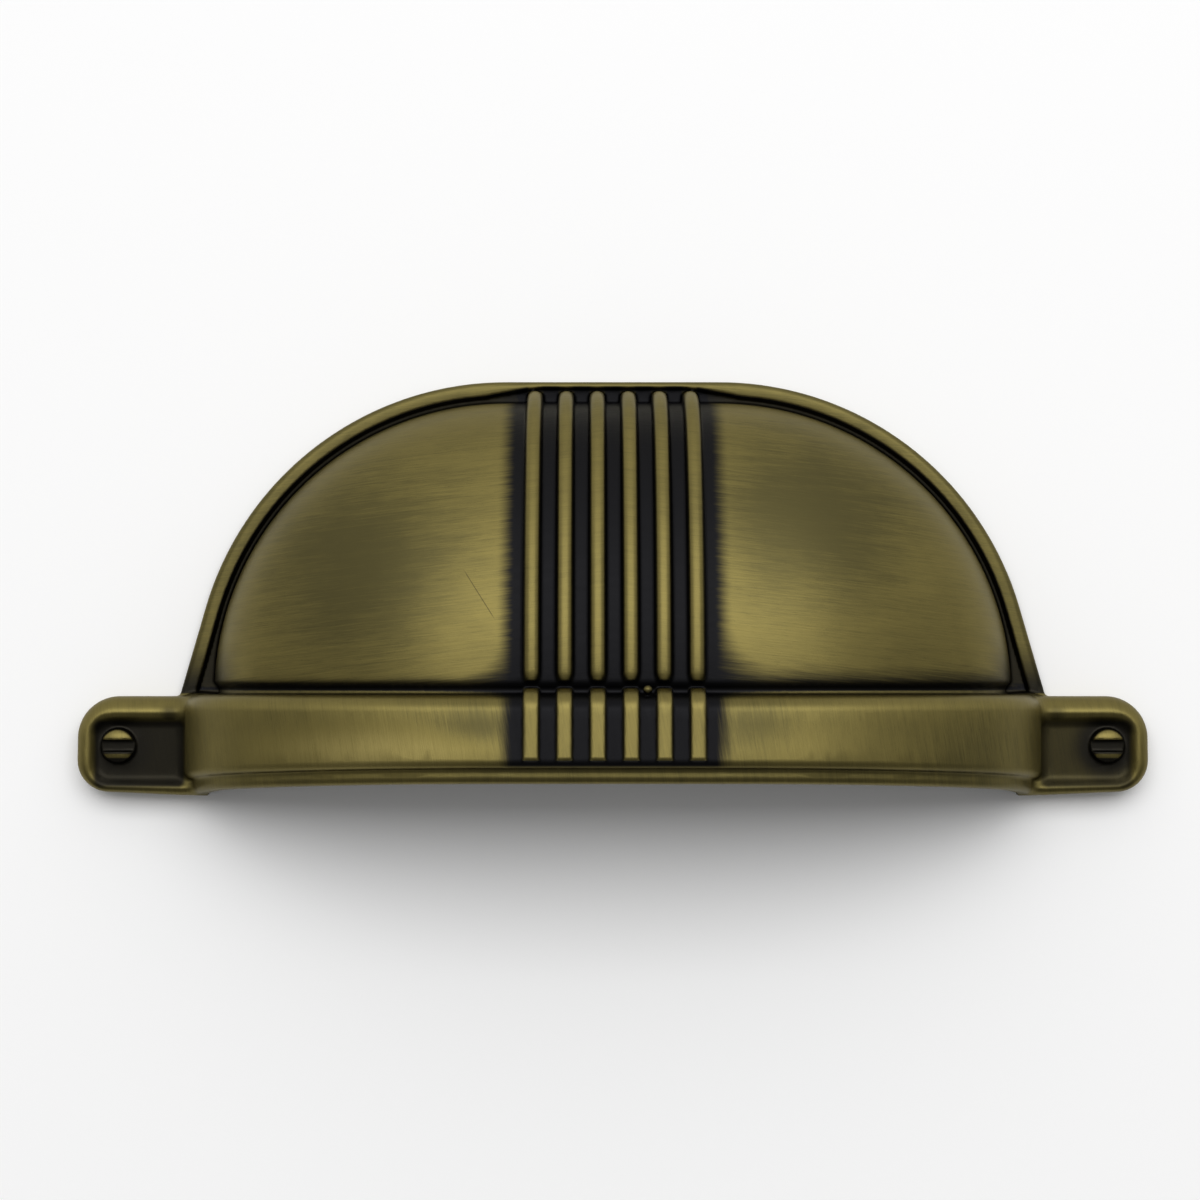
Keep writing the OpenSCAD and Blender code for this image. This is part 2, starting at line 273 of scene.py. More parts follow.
class Casting:
    """The solids that make the casting, on points x, y, z. It is symmetric, so x isn't negative."""

    def __init__(self, scene, x, y, z):
        self.cup, self.strap, self.reeds = scene.pull_cup, scene.pull_strap, scene.pull_reeds
        self.ears, self.finish = scene.pull_ears, scene.pull_finish
        self.x, self.y, self.z = x, y, z
        self.past_straight = np.maximum(x - self.cup.half_straight, 0)
        self.strap_height = self.cup.height + self.strap.bow
        self.off_strap = oval(self.past_straight, z, self.cup.radius, self.strap_height)
        outward = np.hypot(self.past_straight, np.maximum(y, 0))
        self.off_cup = oval(outward, z, self.cup.radius, self.cup.height)

    def dome(self):
        """The filled cup, which reaches a little into the strap."""
        return np.maximum(self.off_cup, -self.y - self.cup.wall / 4)

    def cove_cut(self):
        """The groove between the cup and the strap."""
        r = self.strap.cove
        return np.hypot(self.off_strap - r / 4, self.y - r / 2) - r

    def flange(self):
        """The flange with its raised band, round the cup and then straight to the ears."""
        c = self.cup
        edge = CAD_HIGH.y
        ahead = self.x - c.half_straight
        on_arc = self.y * FLARE_COS > ahead * FLARE_SIN
        out = np.where(on_arc, np.hypot(np.maximum(ahead, 0), self.y), ahead * FLARE_COS + self.y * FLARE_SIN)
        plate = np.maximum(out - edge, self.z - c.flange_floor)
        band = common(out - edge, self.z - c.band_height, c.band_roll)
        over_reeds = np.interp(ahead, (BAND_NARROW, BAND_FULL), (1, 0))
        band = common(band, edge - c.band_width + c.band_thinning * over_reeds - out, self.finish.fillet)
        return np.maximum(np.minimum(plate, band), -self.y - c.wall / 4)

    def strap_band(self):
        """The strap, down to its leaning lower edge, and the lip below it."""
        s = self.strap
        face = self.off_strap - s.proud + strap_lean(s, self.past_straight, self.y)
        lean_cos, lean_sin = math.cos(s.lip_lean), math.sin(s.lip_lean)
        along = (self.y + s.lip_drop) * lean_cos - self.z * lean_sin
        out = (self.y + s.lip_drop) * lean_sin + self.z * lean_cos
        band = common(face, self.y, s.shoulder)
        band = common(band, s.lip_width / 2 - along, s.lower_edge)
        off_lip = oval(self.past_straight, out, self.cup.radius, self.strap_height) - s.lip_proud
        fuller = np.clip(np.minimum(lean_sin * self.z, s.foot_fuller * (1 - self.z / s.foot_height)), 0, None)
        lip = common(off_lip, -along - s.lip_width / 2 - fuller, s.lip_width * 0.45)
        lip = np.maximum(lip, along - s.lip_width)
        return np.maximum(join(band, lip, self.finish.fillet), -self.off_strap - 1.5 * self.cup.wall)

    def ear(self):
        """An ear with its pocket and its cast screw head."""
        e = self.ears
        end = CAD_HIGH.x
        inner = self.cup.half_straight + self.cup.radius - 2.5 * MM
        bend = self.cup.half_straight + self.cup.radius + self.strap.proud
        half_x, half_y = (end - inner) / 2, (e.bottom - e.top) / 2
        middle_y = -(e.bottom + e.top) / 2
        rise = e.rise * np.maximum(self.x - bend, 0) + e.inner_rise * np.maximum(bend - self.x, 0)
        leaning = self.y - np.where(self.y < middle_y, rise, 0)
        outline = bar(self.x - end + half_x, leaning - middle_y, half_x, half_y,
                      np.where(self.y < middle_y, e.lower_corner, e.corner))
        roll = np.interp(self.y, (-e.bottom, -e.top), (e.lower_roll, e.roll))
        slab = common(outline, self.z - e.height, roll)
        pocket_y = half_y - (e.border_top + e.border_bottom) / 2
        shift_y = (e.border_bottom - e.border_top) / 2
        pocket = bar(self.x - end + e.border_end + half_x, self.y - middle_y - shift_y, half_x, pocket_y,
                     e.pocket_corner)
        floor = e.height - e.pocket_depth
        pocket = common(pocket, floor - self.z, e.soft)
        head_x, head_top = end - e.head_inset, e.height + e.head_proud
        from_head = np.hypot(self.x - head_x, self.y - middle_y)
        dome = np.hypot(from_head, self.z - head_top + e.head_dome) - e.head_dome
        head = common(from_head - e.head, dome, self.finish.edge)
        slot = np.maximum(np.abs(self.y - middle_y) - e.slot_width / 2, head_top - e.slot_depth - self.z)
        head = cut(head, slot, self.finish.edge / 2)
        return cut(slab, pocket, e.soft), head

    def hollow(self):
        """The hollow of the cup and of the strap, open at the back and below."""
        wall = self.cup.wall
        cup_side = np.maximum(self.off_cup + wall, -self.y - wall)
        strap_side = np.maximum(self.off_strap - self.strap.proud + wall, self.y + wall)
        return join(cup_side, strap_side, self.finish.fillet)

    def boss(self):
        """A screw boss, which ends inside the wall."""
        wall = self.cup.wall
        in_strap = self.off_strap - self.strap.proud + 2 * wall / 3
        reach = np.where(self.y > -wall / 2, self.off_cup + 0.6 * wall, in_strap)
        return np.maximum(np.hypot(self.x - SCREW_SPACING / 2, self.y) - self.cup.boss, reach)

    def screw_hole(self):
        """A screw hole with its chamfered mouth."""
        chamfer = 0.4 * MM
        out = np.hypot(self.x - SCREW_SPACING / 2, self.y) - SCREW_HOLE
        mouth = (out - chamfer + self.z) * math.sqrt(0.5)
        return np.minimum(np.maximum(out, self.z - self.cup.hole_depth), mouth)


def reed_tree():
    """Geometry nodes that sweep a bar along a path, thin it at the start and repeat it side by side."""
    tree = bpy.data.node_groups.new("Reeds", "GeometryNodeTree")
    face = tree.interface
    face.new_socket("Path", in_out="INPUT", socket_type="NodeSocketGeometry")
    for name in ("Width", "Height", "Corner", "Taper", "Pitch"):
        face.new_socket(name, in_out="INPUT", socket_type="NodeSocketFloat")
    face.new_socket("Count", in_out="INPUT", socket_type="NodeSocketInt")
    face.new_socket("Material", in_out="INPUT", socket_type="NodeSocketMaterial")
    face.new_socket("Reeds", in_out="OUTPUT", socket_type="NodeSocketGeometry")
    nodes, links = tree.nodes, tree.links
    given = nodes.new("NodeGroupInput")
    made = nodes.new("NodeGroupOutput")

    along = nodes.new("GeometryNodeSplineParameter")
    thin = nodes.new("ShaderNodeMapRange")
    thin.interpolation_type = "SMOOTHSTEP"
    thin.inputs["To Min"].default_value = 0.65
    links.new(along.outputs["Length"], thin.inputs["Value"])
    links.new(given.outputs["Taper"], thin.inputs["From Max"])

    profile = nodes.new("GeometryNodeCurvePrimitiveQuadrilateral")
    links.new(given.outputs["Width"], profile.inputs["Width"])
    links.new(given.outputs["Height"], profile.inputs["Height"])
    corner = nodes.new("GeometryNodeFilletCurve")
    corner.mode = "POLY"
    corner.inputs["Count"].default_value = 8
    corner.inputs["Limit Radius"].default_value = True
    links.new(profile.outputs["Curve"], corner.inputs["Curve"])
    links.new(given.outputs["Corner"], corner.inputs["Radius"])
    sweep = nodes.new("GeometryNodeCurveToMesh")
    sweep.inputs["Fill Caps"].default_value = True
    links.new(given.outputs["Path"], sweep.inputs["Curve"])
    links.new(thin.outputs["Result"], sweep.inputs["Scale"])
    links.new(corner.outputs["Curve"], sweep.inputs["Profile Curve"])

    step = nodes.new("ShaderNodeCombineXYZ")
    links.new(given.outputs["Pitch"], step.inputs["X"])
    gaps = nodes.new("ShaderNodeMath")
    gaps.operation = "SUBTRACT"
    gaps.inputs[1].default_value = 1
    links.new(given.outputs["Count"], gaps.inputs[0])
    half = nodes.new("ShaderNodeMath")
    half.operation = "MULTIPLY"
    half.inputs[1].default_value = -0.5
    links.new(gaps.outputs["Value"], half.inputs[0])
    first = nodes.new("ShaderNodeVectorMath")
    first.operation = "SCALE"
    links.new(step.outputs["Vector"], first.inputs["Vector"])
    links.new(half.outputs["Value"], first.inputs["Scale"])
    row = nodes.new("GeometryNodeMeshLine")
    links.new(given.outputs["Count"], row.inputs["Count"])
    links.new(first.outputs["Vector"], row.inputs["Start Location"])
    links.new(step.outputs["Vector"], row.inputs["Offset"])
    copies = nodes.new("GeometryNodeInstanceOnPoints")
    links.new(row.outputs["Mesh"], copies.inputs["Points"])
    links.new(sweep.outputs["Mesh"], copies.inputs["Instance"])
    real = nodes.new("GeometryNodeRealizeInstances")
    links.new(copies.outputs["Instances"], real.inputs["Geometry"])
    paint = nodes.new("GeometryNodeSetMaterial")
    links.new(real.outputs["Geometry"], paint.inputs["Geometry"])
    links.new(given.outputs["Material"], paint.inputs["Material"])
    links.new(paint.outputs["Geometry"], made.inputs["Reeds"])
    return tree


def cup_reed_path(scene):
    """Points along the middle of a reed on the cup, from its lower end to the flange."""
    cup, reeds = scene.pull_cup, scene.pull_reeds
    crown_up, crown_radius, haunch_out, haunch_radius = oval_arcs(cup.radius + reeds.spread, cup.height)
    meet = math.atan2(3, 4)
    points = []
    for turn in np.linspace(math.asin(reeds.gap / crown_radius), math.radians(93), 120):
        if turn < meet:
            points.append((0, crown_radius * math.sin(turn), crown_up + crown_radius * math.cos(turn)))
        else:
            points.append((0, haunch_out + haunch_radius * math.sin(turn), haunch_radius * math.cos(turn)))
    return points


def strap_reed_path(scene):
    """Points along the strap's face where a reed lies on it, from its lower end over the shoulder."""
    cup, strap, reeds = scene.pull_cup, scene.pull_strap, scene.pull_reeds
    base = cup.height + strap.bow
    face = base + strap.proud
    places = [-reeds.strap_end - SHORT, *np.linspace(-reeds.strap_end, -strap.shoulder, 8)]
    points = [(0, y, face - strap_lean(strap, 0, y)) for y in places]
    top = points[-1][2]
    for turn in np.linspace(0.1, math.pi / 2, 12):
        back, down = strap.shoulder * (1 - math.sin(turn)), strap.shoulder * (1 - math.cos(turn))
        points.append((0, -back, top - down))
    points.append((0, 0, base - cup.wall / 2))
    return points


def make_reeds(scene, name, path, sizes, material):
    """The mesh of one row of reeds, as its points and triangles."""
    curve = bpy.data.curves.new(name, "CURVE")
    curve.dimensions = "3D"
    spline = curve.splines.new("POLY")
    spline.points.add(len(path) - 1)
    spline.points.foreach_set("co", np.array([(*p, 1) for p in path]).ravel())
    holder = bpy.data.objects.new(name, curve)
    scene.collection.objects.link(holder)
    tree = bpy.data.node_groups.get("Reeds") or reed_tree()
    modifier = holder.modifiers.new("Reeds", "NODES")
    modifier.node_group = tree
    sizes = {**sizes, "Count": scene.pull_reeds.count, "Pitch": scene.pull_reeds.pitch, "Material": material}
    for socket in tree.interface.items_tree:
        if socket.in_out == "INPUT" and socket.name in sizes:
            modifier[socket.identifier] = sizes[socket.name]
    evaluated = holder.evaluated_get(bpy.context.evaluated_depsgraph_get())
    mesh = bpy.data.meshes.new_from_object(evaluated)
    bpy.data.objects.remove(holder)
    mesh.calc_loop_triangles()
    points = np.zeros(len(mesh.vertices) * 3, np.float32)
    mesh.vertices.foreach_get("co", points)
    corners = np.zeros(len(mesh.loop_triangles) * 3, np.int32)
    mesh.loop_triangles.foreach_get("vertices", corners)
    bpy.data.meshes.remove(mesh)
    return points.reshape(-1, 3), corners.reshape(-1, 3).astype(np.uint32)


class Cells:
    """A block of cells that holds the casting, with the points of its right half."""

    def __init__(self, size):
        self.size = size
        spare = 8
        low = [math.floor(a / size) - spare for a in CAD_LOW]
        high = [math.ceil(a / size) + spare for a in CAD_HIGH]
        self.reach = high[0]
        self.first = (-self.reach, low[1], low[2])
        steps = [np.arange(0, high[0] + 1), np.arange(low[1], high[1] + 1), np.arange(low[2], high[2] + 1)]
        self.right = np.meshgrid(*[(s * size).astype(np.float32) for s in steps], indexing="ij", sparse=True)

    def both_halves(self, right):
        """Values in the right half, with their mirror image on the left."""
        return np.concatenate([right[:0:-1], right])

    def distance_to(self, points, triangles, shape):
        """Signed distance to a closed mesh in each cell, exact near its surface."""
        cells_exact = 9
        transform = openvdb.createLinearTransform(self.size)
        grid = openvdb.FloatGrid.createLevelSetFromPolygons(points, triangles, transform=transform,
                                                            halfWidth=cells_exact)
        values = np.zeros(shape, np.float32)
        grid.copyToArray(values, self.first)
        return values

    def ball(self, middle, radius):
        """Signed distance to a ball in each cell."""
        across, up, out = self.right
        across = np.concatenate([-across[:0:-1], across])
        return np.sqrt((across - middle[0]) ** 2 + (up - middle[1]) ** 2 + (out - middle[2]) ** 2) - radius

    def surface(self, values):
        """The surface where the values pass through 0, as points and quads."""
        limit = 3 * self.size
        grid = openvdb.FloatGrid(limit)
        grid.transform = openvdb.createLinearTransform(self.size)
        grid.copyFromArray(np.clip(values, -limit, limit), self.first)
        return grid.convertToQuads(0)

    def at(self, values, points):
        """Values read between the cells, at points."""
        place = points / self.size - np.array(self.first)
        base = np.clip(np.floor(place).astype(int), 0, np.array(values.shape) - 2)
        part = place - base
        total = np.zeros(len(points), np.float32)
        for i, j, k in np.ndindex(2, 2, 2):
            weight = np.ones(len(points))
            for axis, side in enumerate((i, j, k)):
                weight = weight * (part[:, axis] if side else 1 - part[:, axis])
            total += weight * values[base[:, 0] + i, base[:, 1] + j, base[:, 2] + k]
        return total


def build_field(scene, cells, material):
    """The signed distance to the casting in every cell."""
    finish = scene.pull_finish
    cast = Casting(scene, *cells.right)
    reeds = scene.pull_reeds
    dome = cells.both_halves(cast.dome())
    shape = dome.shape
    round_bar = {"Width": 2 * reeds.radius, "Height": 2 * reeds.radius, "Corner": reeds.round_edge,
                 "Taper": reeds.taper}
    flat_bar = {"Width": reeds.strap_width, "Height": 2 * reeds.strap_proud, "Corner": finish.edge,
                "Taper": SHORT}
    rows = (("cup_reeds", cup_reed_path, round_bar), ("strap_reeds", strap_reed_path, flat_bar))
    cup_reeds, strap_reeds = (
        cells.distance_to(*make_reeds(scene, name, path(scene), sizes, material), shape)
        for name, path, sizes in rows)
    outside = join(dome, cup_reeds, finish.fillet)
    outside = cut(outside, cells.both_halves(cast.cove_cut()), finish.edge)
    outside = join(outside, cells.both_halves(cast.flange()), finish.fillet)
    slab, head = cast.ear()
    strap = join(cast.strap_band(), slab, 3 * finish.fillet)
    strap = join(strap, head, finish.fillet / 2)
    outside = join(outside, cells.both_halves(strap), finish.fillet)
    outside = join(outside, strap_reeds, finish.fillet / 2)
    nib = cells.ball((reeds.pitch, reeds.nib, scene.pull_cup.height + scene.pull_strap.shoulder), reeds.nib)
    outside = join(outside, nib, finish.fillet / 2)
    casting = cut(outside, cells.both_halves(cast.hollow()), finish.edge)
    casting = join(casting, cells.both_halves(cast.boss()), 2 * finish.fillet)
    casting = cut(casting, cells.both_halves(cast.screw_hole()), finish.edge / 4)
    ground = np.broadcast_to(-cells.right[2], shape)
    return common(casting, ground, finish.edge / 2)


def mesh_of(name, points, faces):
    """A mesh made from arrays of points and of faces with the same number of corners."""
    mesh = bpy.data.meshes.new(name)
    mesh.vertices.add(len(points))
    mesh.vertices.foreach_set("co", points.astype(np.float32).ravel())
    corners = faces.shape[1]
    mesh.loops.add(faces.size)
    mesh.loops.foreach_set("vertex_index", faces.astype(np.int32).ravel())
    mesh.polygons.add(len(faces))
    mesh.polygons.foreach_set("loop_start", np.arange(0, faces.size, corners, dtype=np.int32))
    mesh.update(calc_edges=True)
    mesh.validate()
    return mesh


def thinned(scene, mesh, triangles):
    """The mesh thinned to about that many triangles, but not by the ends of the strap's reeds."""
    holder = bpy.data.objects.new("thinned", mesh)
    scene.collection.objects.link(holder)
    reeds = scene.pull_reeds
    x, y, z = points_of(mesh).T
    by_reeds = (np.abs(x) < reeds.count * reeds.pitch / 2) & (z > scene.pull_cup.height)
    by_ends = by_reeds & (np.abs(y + reeds.strap_end) < FINE_ENDS)
    group = holder.vertex_groups.new(name="Thinned")
    group.add(np.flatnonzero(~by_ends).tolist(), 1, "REPLACE")
    modifier = holder.modifiers.new("Thin", "DECIMATE")
    modifier.vertex_group = group.name
    modifier.ratio = min(1, triangles / (2 * len(mesh.polygons)))
    modifier.use_collapse_triangulate = True
    evaluated = holder.evaluated_get(bpy.context.evaluated_depsgraph_get())
    result = bpy.data.meshes.new_from_object(evaluated)
    bpy.data.objects.remove(holder)
    bpy.data.meshes.remove(mesh)
    return result


def refined(mesh, longest):
    """The mesh with its long edges halved until few are longer than that."""
    work = bmesh.new()
    work.from_mesh(mesh)
    for _ in range(6):
        long = [edge for edge in work.edges if edge.calc_length() > longest]
        if not long:
            break
        bmesh.ops.subdivide_edges(work, edges=long, cuts=1)
        bmesh.ops.triangulate(work, faces=[face for face in work.faces if len(face.verts) > 3])
    work.to_mesh(mesh)
    work.free()
    return mesh


def points_of(mesh):
    """The places of the mesh's points."""
    points = np.zeros(len(mesh.vertices) * 3, np.float32)
    mesh.vertices.foreach_get("co", points)
    return points.reshape(-1, 3)


class PULL_OT_casting(bpy.types.Operator):
    """Make the casting with its finish, in place of the packed solid"""
    bl_idname = "pull.casting"
    bl_label = "Casting"

    def execute(self, context):
        scene = context.scene
        finish = scene.pull_finish
        material = antique_brass(scene)
        cells = Cells(finish.grain)
        casting = build_field(scene, cells, material)
        points, quads = cells.surface(casting)
        mesh = thinned(scene, mesh_of("casting", points, quads), finish.triangles)
        mesh = refined(mesh, finish.longest_edge)
        slopes = np.gradient(casting, finish.grain)
        for _ in range(2):
            points = points_of(mesh)
            normals = np.stack([cells.at(slope, points) for slope in slopes], 1)
            normals /= np.linalg.norm(normals, axis=1, keepdims=True)
            points -= np.clip(cells.at(casting, points), -finish.edge, finish.edge)[:, None] * normals
            mesh.vertices.foreach_set("co", points.ravel())
        points = np.clip(points, CAD_LOW, CAD_HIGH)
        mesh.vertices.foreach_set("co", points.astype(np.float32).ravel())
        mesh.name = "casting"
        mesh.shade_smooth()
        mesh.normals_split_custom_set_from_vertices(normals)
        mesh.materials.clear()
        mesh.materials.append(material)
        piece = bpy.data.objects.new("casting", mesh)
        scene.collection.objects.link(piece)
        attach(piece, BODY)
        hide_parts(NODE)
        return {"FINISHED"}


class Graph:
    """Short ways to add nodes to a material. A value given to them is a socket or a number."""

    def __init__(self, tree):
        self.tree = tree

    def node(self, kind, **settings):
        """A new node with its settings."""
        made = self.tree.nodes.new(kind)
        for name, value in settings.items():
            setattr(made, name, value)
        return made

    def put(self, socket, value):
        """Links a socket to an input, or sets a number there."""
        if isinstance(value, bpy.types.NodeSocket):
            self.tree.links.new(value, socket)
        else:
            socket.default_value = value

    def math(self, operation, *values):
        """The result of a sum."""
        made = self.node("ShaderNodeMath", operation=operation)
        for socket, value in zip(made.inputs, values):
            self.put(socket, value)
        return made.outputs[0]

    def ease(self, value, low, high, first=0.0, last=1.0):
        """A value eased from first, at low, to last, at high."""
        made = self.node("ShaderNodeMapRange", interpolation_type="SMOOTHSTEP")
        names = ("Value", "From Min", "From Max", "To Min", "To Max")
        for name, given in zip(names, (value, low, high, first, last)):
            self.put(made.inputs[name], given)
        return made.outputs["Result"]

    def within(self, value, low, high, soft):
        """1 where a value lies between low and high, with soft edges."""
        first = self.ease(value, low - soft, low + soft)
        return self.math("MULTIPLY", first, self.ease(value, high + soft, high - soft))

    def most(self, *values):
        """The largest of several values."""
        result = values[0]
        for value in values[1:]:
            result = self.math("MAXIMUM", result, value)
        return result

    def product(self, *values):
        """Several values multiplied."""
        result = values[0]
        for value in values[1:]:
            result = self.math("MULTIPLY", result, value)
        return result

    def total(self, *terms):
        """A sum of values, each a value alone or a pair of a value and its weight."""
        result = 0.0
        for term in terms:
            value = self.math("MULTIPLY", *term) if isinstance(term, tuple) else term
            result = self.math("ADD", result, value)
        return result

    def rest(self, value):
        """What a share leaves of 1."""
        return self.math("SUBTRACT", 1, value)

    def hypot(self, *sides):
        """The length of a line with those lengths along the axes."""
        return self.math("SQRT", self.total(*((side, side) for side in sides)))

    def noise(self, x, y, z, detail=5.0, rough=0.6):
        """Noise about 0, with one cell to each unit of x, y and z."""
        place = self.node("ShaderNodeCombineXYZ")
        for socket, value in zip(place.inputs, (x, y, z)):
            self.put(socket, value)
        made = self.node("ShaderNodeTexNoise")
        self.put(made.inputs["Vector"], place.outputs["Vector"])
        made.inputs["Scale"].default_value = 1
        made.inputs["Detail"].default_value = detail
        made.inputs["Roughness"].default_value = rough
        return self.math("SUBTRACT", made.outputs["Fac"], 0.5)

    def mix(self, factor, a, b):
        """Colour a at 0 and colour b at 1."""
        made = self.node("ShaderNodeMix", data_type="RGBA")
        sockets = {socket.identifier: socket for socket in [*made.inputs, *made.outputs]}
        for name, given in (("Factor_Float", factor), ("A_Color", a), ("B_Color", b)):
            self.put(sockets[name], given)
        return sockets["Result_Color"]

    def choose(self, factor, a, b):
        """Number a at 0 and number b at 1."""
        made = self.node("ShaderNodeMix", data_type="FLOAT")
        sockets = {socket.identifier: socket for socket in [*made.inputs, *made.outputs]}
        for name, given in (("Factor_Float", factor), ("A_Float", a), ("B_Float", b)):
            self.put(sockets[name], given)
        return sockets["Result_Float"]


class Places:
    """Where on the pull a point lies, in millimetres, as sockets that the parts of the material share."""

    def __init__(self, graph):
        self.graph = graph
        scaled = graph.node("ShaderNodeVectorMath", operation="SCALE")
        graph.put(scaled.inputs["Vector"], graph.node("ShaderNodeTexCoord").outputs["Object"])
        scaled.inputs["Scale"].default_value = 1 / MM
        apart = graph.node("ShaderNodeSeparateXYZ")
        graph.put(apart.inputs["Vector"], scaled.outputs["Vector"])
        self.x, self.y, self.z = apart.outputs
        self.aside = graph.math("ABSOLUTE", self.x)
        self.on_strap = graph.ease(self.y, 0.9, 0.7)
        self.brush, self.fine, self.lines = self.brushing()

    def brushing(self):
        """Coarse and fine marks and thin lines: along the dome, falling to its ends, and down the strap."""
        graph = self.graph
        level = graph.total(self.y, (self.aside, 0.11))
        slant = graph.total(self.x, (self.y, 0.16))
        marks = []
        for across, along in BRUSH_MARKS:
            dome = graph.math("MULTIPLY", self.x, along), graph.math("MULTIPLY", level, across), 0.0
            strap = graph.math("MULTIPLY", slant, across), graph.math("MULTIPLY", self.y, along), 3.0
            marks.append(graph.choose(self.on_strap, graph.noise(*dome), graph.noise(*strap)))
        marks[2] = graph.ease(graph.math("ABSOLUTE", marks[2]), 0.012, 0.0)
        return marks


def reed_shade(places, scene):
    """How far the reeds and the corner by the strap keep the dark finish, on the cup and on the strap, with a
    painted shadow below the lower ends of the strap's reeds.
    """
    graph, reeds = places.graph, scene.pull_reeds
    half = reeds.pitch / MM / 2
    last = half * (reeds.count - 1)
    past = graph.math("MAXIMUM", graph.math("SUBTRACT", places.aside, last), 0)
    inner = graph.math("SUBTRACT", last, graph.math("MINIMUM", places.aside, last))
    off_reed = graph.math("ADD", graph.math("PINGPONG", inner, half), past)
    cup_half = graph.ease(graph.total(places.y, (places.fine, 1.5)), 0.9, 1.7, 0.48, 0.66)
    bright = graph.choose(places.on_strap, cup_half, 0.5 * reeds.strap_width / MM)
    gap = graph.ease(graph.math("SUBTRACT", off_reed, bright), -0.2, 0.14)
    # Below the lower ends of the strap's reeds the dark is partly patina and partly a painted shadow cast by
    # those ends
    end = -reeds.strap_end / MM
    below = graph.ease(places.y, end + 0.15, end)
    tip = graph.within(places.y, 0.58, 0.88, 0.05)
    beside = graph.math("SUBTRACT", past, 1.55)
    above = graph.math("MAXIMUM", graph.math("SUBTRACT", places.y, 0.5), 0)
    by_reeds = graph.math("MINIMUM", graph.math("MAXIMUM", graph.math("SUBTRACT", past, 1.2), 0), 5)
    corner = graph.product(by_reeds, above, graph.ease(places.x, -1, 1, 1 / 4, 1 / 7))
    on_cup = graph.math("SMOOTH_MIN", beside, corner, 0.6)
    near = graph.choose(graph.ease(places.y, 0.5, -0.5), on_cup, beside)
    ragged = graph.total(near, (places.brush, 0.9), (places.fine, 0.6))
    outer = graph.math("GREATER_THAN", past, 0.9)
    dark = graph.product(graph.choose(outer, 1, graph.ease(ragged, 1.7, 0.1)), graph.most(gap, below, tip))
    right, rise = graph.math("SUBTRACT", places.x, 2 * half), graph.math("SUBTRACT", places.y, reeds.nib / MM)
    off_nib = graph.ease(graph.hypot(right, rise), 0.3, 0.42, 0.35, 1.0)
    top = (scene.pull_cup.radius + reeds.spread + reeds.radius) / MM
    on_reed = graph.math("MULTIPLY", graph.rest(gap), graph.ease(places.y, top, top - 0.15))
    return graph.math("MULTIPLY", dark, off_nib), on_reed


def groove_shade(places, scene):
    """The groove between the cup and the flange's band, the band's ends, and where the band itself is."""
    graph, cup = places.graph, scene.pull_cup
    foot, straight = cup.radius / MM, cup.half_straight / MM
    band = (CAD_HIGH.y - cup.band_width) / MM
    ahead = graph.math("MAXIMUM", graph.math("SUBTRACT", places.aside, straight), 0)
    out = graph.hypot(ahead, places.y)
    slope = graph.math("DIVIDE", places.y, graph.math("ADD", ahead, 0.01))
    flared = graph.total((ahead, FLARE_COS), (places.y, FLARE_SIN))
    out_band = graph.choose(graph.math("LESS_THAN", slope, FLARE_SIN / FLARE_COS), out, flared)
    over_reeds = graph.ease(places.aside, straight + BAND_FULL / MM, straight + BAND_NARROW / MM)
    out_band = graph.total(out_band, (over_reeds, -cup.band_thinning / MM))
    by_cup, by_band = graph.ease(out, foot - 0.4, foot), graph.ease(out_band, band + 0.15, band - 0.1)
    groove = graph.math("MULTIPLY", by_cup, by_band)
    ends = graph.math("MULTIPLY", graph.ease(places.y, 6.0, 0.5), graph.ease(out, foot - 4, foot - 0.3))
    both = graph.math("MAXIMUM", groove, ends)
    above_strap = graph.ease(places.y, 0.0, 0.2)
    on_band = graph.math("MULTIPLY", graph.ease(out_band, band + 0.05, band + 0.3), above_strap)
    return graph.math("MULTIPLY", both, above_strap), on_band


def ear_shade(places, scene):
    """The pockets of the ears round the screw heads. A head is brass above the slot and in a strip below it;
    the rest of its lower half is painted shade.
    """
    graph, ears = places.graph, scene.pull_ears
    strap_end = (scene.pull_cup.half_straight + scene.pull_cup.radius + scene.pull_strap.proud) / MM
    end = CAD_HIGH.x / MM
    corner = ears.pocket_corner / MM / 2
    sides = []
    for place, low, high in (
            (places.aside, strap_end - 0.4, end - ears.border_end / MM),
            (places.y, -(ears.bottom - 0.6 * ears.border_bottom) / MM, -(ears.top + ears.border_top) / MM)):
        off_middle = graph.math("ABSOLUTE", graph.math("SUBTRACT", place, (low + high) / 2))
        sides.append(graph.math("MAXIMUM", graph.math("ADD", off_middle, corner - (high - low) / 2), 0))
    pocket = graph.ease(graph.math("SUBTRACT", graph.hypot(*sides), corner), 0.45, -0.4)
    inner_end = graph.product(graph.within(places.aside, strap_end + 0.2, strap_end + 2, 0.8),
                              graph.ease(places.y, -0.5, -1.6), graph.ease(places.y, -9.3, -8.6), 0.75)
    pocket = graph.math("MAXIMUM", pocket, inner_end)
    streaked = graph.total(pocket, (places.brush, 0.3), (places.fine, 0.3))
    pocket = graph.product(pocket, graph.ease(streaked, -0.2, 1.0))
    head_x, head_y = end - ears.head_inset / MM, -(ears.top + ears.bottom) / MM / 2
    right, rise = graph.math("SUBTRACT", places.aside, head_x), graph.math("SUBTRACT", places.y, head_y)
    from_head = graph.hypot(right, rise)
    # Painted shade: below the slot only a strip of the head is brass, and the rest of its lower half stays
    # dark as if shaded from the light above
    upper = graph.ease(rise, 0.45, 0.65)
    lower = graph.within(rise, -1.12, -0.78, 0.1)
    rubbed_and_lit = graph.product(graph.ease(from_head, 1.6, 1.4), graph.math("MAXIMUM", upper, lower))
    left = graph.ease(places.x, 1.0, -1.0, 0.75, 0.93)
    kept = graph.choose(graph.ease(from_head, 4.0, 2.0), left, 0.95)
    return graph.product(pocket, kept, graph.rest(rubbed_and_lit))


